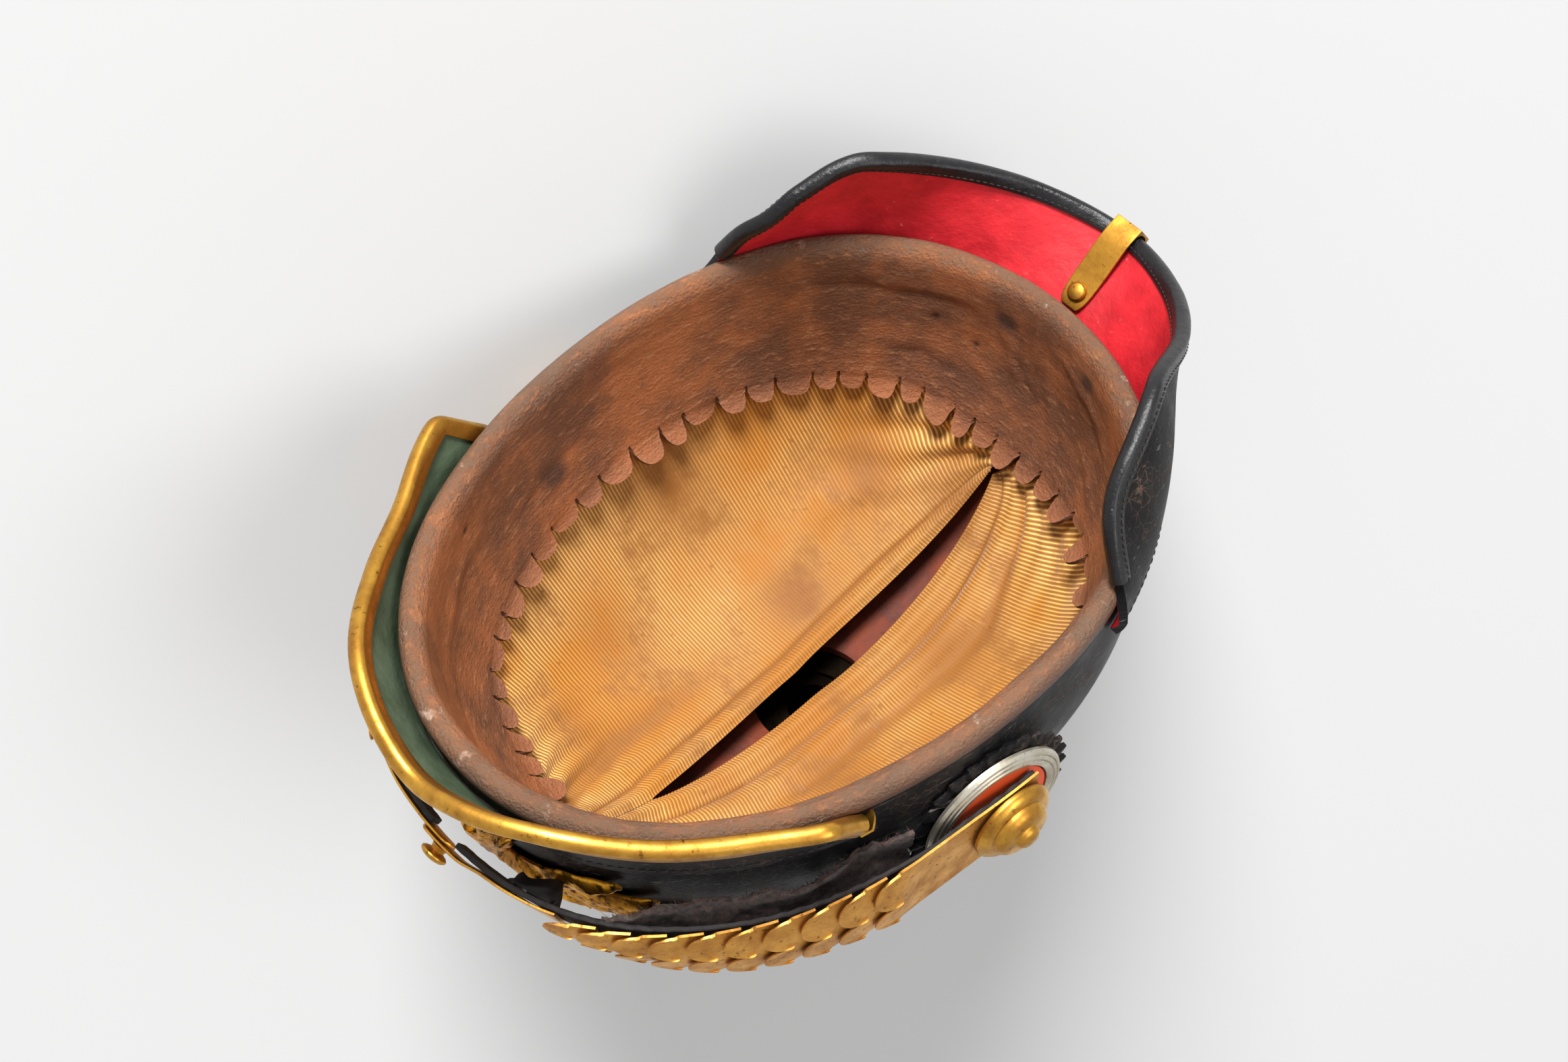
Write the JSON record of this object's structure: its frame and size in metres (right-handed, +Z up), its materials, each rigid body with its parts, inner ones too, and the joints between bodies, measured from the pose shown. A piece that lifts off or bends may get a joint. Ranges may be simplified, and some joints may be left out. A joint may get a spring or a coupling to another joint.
{
  "type": "spiked helmet",
  "caption": "Black leather helmet with a brass spike, front and rear visors, ribbed silk lining and scaled chin strap, lying on its side with the opening towards the viewer.",
  "frame": {"origin": "on the floor under the middle of the helmet's bounding box, as it lies", "axes": "+Z up from the floor, -Y the way that the head opening faces, +X to the right of someone who looks into it"},
  "size_m": [0.2498, 0.2684, 0.1903],
  "materials": {
    "black_leather": "lacquered, fine crazing",
    "brown_leather": "worn and greyed on the fold",
    "green_leather": "painted dark green below, black above",
    "red_leather": "red below, black lacquer above",
    "ribbed_silk": "corded, stained",
    "brass": "gilt, rubbed and tarnished",
    "silver": "silvered, tarnished in the grooves",
    "red_paint": "orange-red paint",
    "black_paint": "plain black paint",
    "dark_cloth": "worn felt"
  },
  "bodies": {
    "root": {"shell": "black_leather", "sweatband": "brown_leather", "lining_right": "ribbed_silk", "lining_left": "ribbed_silk", "front_visor": "green_leather", "front_visor_trim": "brass", "rear_visor": "red_leather", "rear_visor_binding": "black_leather", "rear_spine": "brass", "rear_spine_rivet": "brass", "front_plate": "brass", "spike_base": "brass", "base_stud_1": "brass", "base_stud_2": "brass", "base_stud_3": "brass", "base_stud_4": "brass", "spike_collar": "brass", "spike": "brass", "cockade_disc_right": "black_leather", "cockade_ring_right": "silver", "cockade_centre_right": "red_paint", "strap_right": "black_leather", "scale_right_01": "brass", "scale_right_02": "brass", "scale_right_03": "brass", "scale_right_04": "brass", "scale_right_05": "brass", "scale_right_06": "brass", "scale_right_07": "brass", "scale_right_08": "brass", "scale_right_09": "brass", "scale_right_10": "brass", "strap_end_right": "brass", "boss_right": "brass", "cockade_disc_left": "black_leather", "cockade_ring_left": "silver", "cockade_centre_left": "black_paint", "strap_left": "black_leather", "scale_left_01": "brass", "scale_left_02": "brass", "scale_left_03": "brass", "scale_left_04": "brass", "scale_left_05": "brass", "scale_left_06": "brass", "scale_left_07": "brass", "scale_left_08": "brass", "scale_left_09": "brass", "scale_left_10": "brass", "strap_end_left": "brass", "boss_left": "brass", "strap_cloth_right": "dark_cloth", "strap_stud": "brass"}
  },
  "joints": []
}
